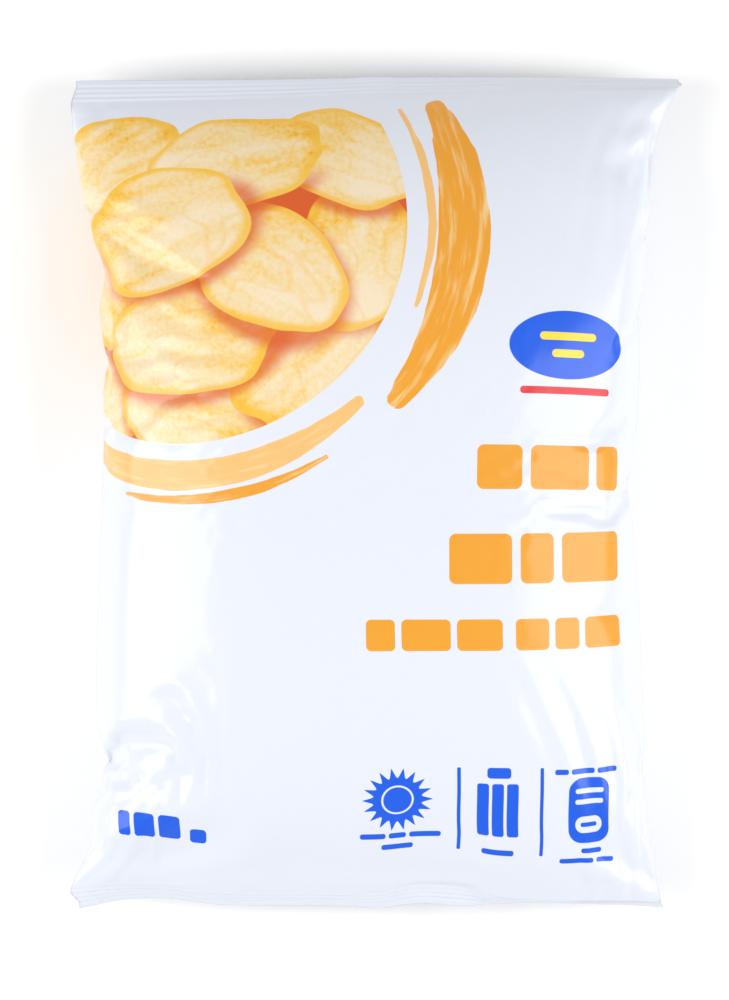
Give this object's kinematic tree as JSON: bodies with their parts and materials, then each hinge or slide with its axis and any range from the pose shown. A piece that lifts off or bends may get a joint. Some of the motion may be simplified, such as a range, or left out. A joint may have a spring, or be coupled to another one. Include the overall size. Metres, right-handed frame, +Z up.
{
  "type": "bag of crisps",
  "caption": "Sealed pillow bag of crisps lying on its back, swollen with air, with a crimped seal at each end and a flat fin seal down the back.",
  "frame": {"origin": "on the table that the bag lies on, under the middle of its box", "axes": "+X to the right across the printed front, +Y towards the top seal, +Z up out of the front"},
  "size_m": [0.2152, 0.2942, 0.0655],
  "materials": {
    "printed_film": "white film with a soft gloss and a few plain printed fields of gold, orange and blue on the front"
  },
  "bodies": {
    "root": {"crisp_bag": "printed_film"}
  },
  "joints": []
}
